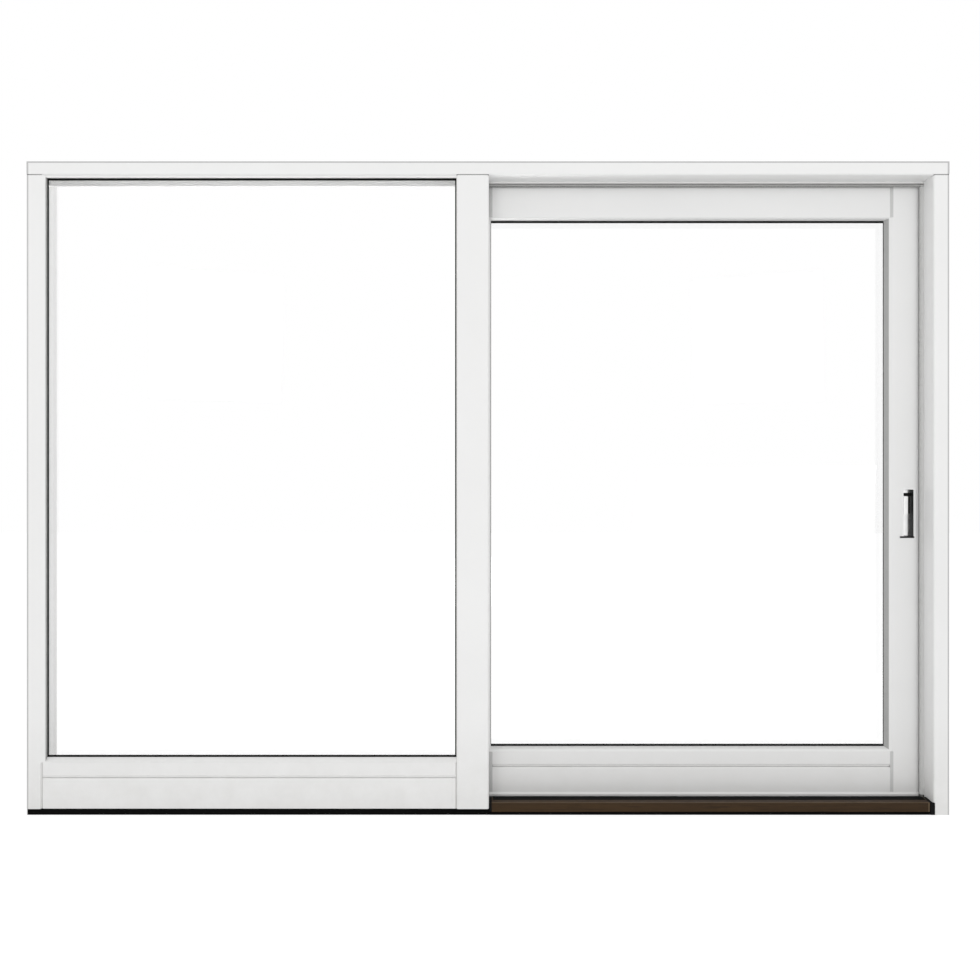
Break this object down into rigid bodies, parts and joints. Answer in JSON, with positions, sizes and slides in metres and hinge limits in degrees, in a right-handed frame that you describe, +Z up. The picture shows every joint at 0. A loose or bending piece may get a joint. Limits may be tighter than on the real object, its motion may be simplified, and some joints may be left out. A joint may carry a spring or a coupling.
{
  "type": "aluminium sliding door",
  "caption": "White aluminium patio door: a fixed light on the left and a glazed sash on the right that slides inside behind it, over a dark threshold.",
  "frame": {"origin": "on the floor under the sill, at the middle of the frame's width and of its depth", "axes": "+X to the right seen from outside, +Y from outside to inside, +Z up"},
  "size_m": [2.95, 0.223, 2.09],
  "materials": {
    "white_coat": "satin powder coat",
    "black_polyamide": "matt",
    "black_rubber": "matt",
    "grey_seal": "woven pile",
    "clear_glass": "polished float glass",
    "grey_spacer": "matt",
    "black_sill": "satin glass-filled plastic",
    "oiled_hardwood": "dark oil",
    "bare_aluminium": "anodised",
    "brushed_metal": "brushed stainless",
    "white_nylon": "moulded",
    "black_cup": "satin"
  },
  "bodies": {
    "frame": {"head_outer": "white_coat", "head_inner": "white_coat", "left_jamb_outer": "white_coat", "left_jamb_inner": "white_coat", "right_jamb_outer": "white_coat", "right_jamb_inner": "white_coat", "thermal_breaks": "black_polyamide", "doorway_head_cover": "white_coat", "mullion": "white_coat", "mullion_interlock": "white_coat", "fixed_bottom_rail": "white_coat", "fixed_bottom_bead": "white_coat", "fixed_inner_beads": "white_coat", "fixed_gasket": "black_rubber", "fixed_glass_outer": "clear_glass", "fixed_glass_inner": "clear_glass", "fixed_glass_spacer": "grey_spacer", "sill": "black_sill", "threshold_tread": "oiled_hardwood", "threshold_end_caps": "black_rubber", "inner_tread": "oiled_hardwood", "running_rail": "bare_aluminium", "head_guide": "white_coat", "doorway_seals": "grey_seal", "strike_plate": "brushed_metal"},
    "sash": {"lock_stile": "white_coat", "meeting_stile": "white_coat", "sash_top_rail": "white_coat", "sash_bottom_rail": "white_coat", "sash_bottom_bead": "white_coat", "drip_bar": "white_coat", "sash_inner_beads": "white_coat", "sash_gasket": "black_rubber", "sash_interlock": "white_coat", "sash_glass_outer": "clear_glass", "sash_glass_inner": "clear_glass", "sash_glass_spacer": "grey_spacer", "roller_carriages": "brushed_metal", "roller_wheels": "white_nylon", "top_guides": "white_nylon", "pull_plate": "white_coat", "pull_cup": "black_cup", "pull_lever": "white_coat", "inner_handle": "white_coat", "lock_faceplate": "brushed_metal"}
  },
  "joints": [
    {"name": "sash_slide", "type": "slide", "parent": "frame", "child": "sash", "axis": [-1, 0, 0], "range_m": [0, 1.325]}
  ]
}
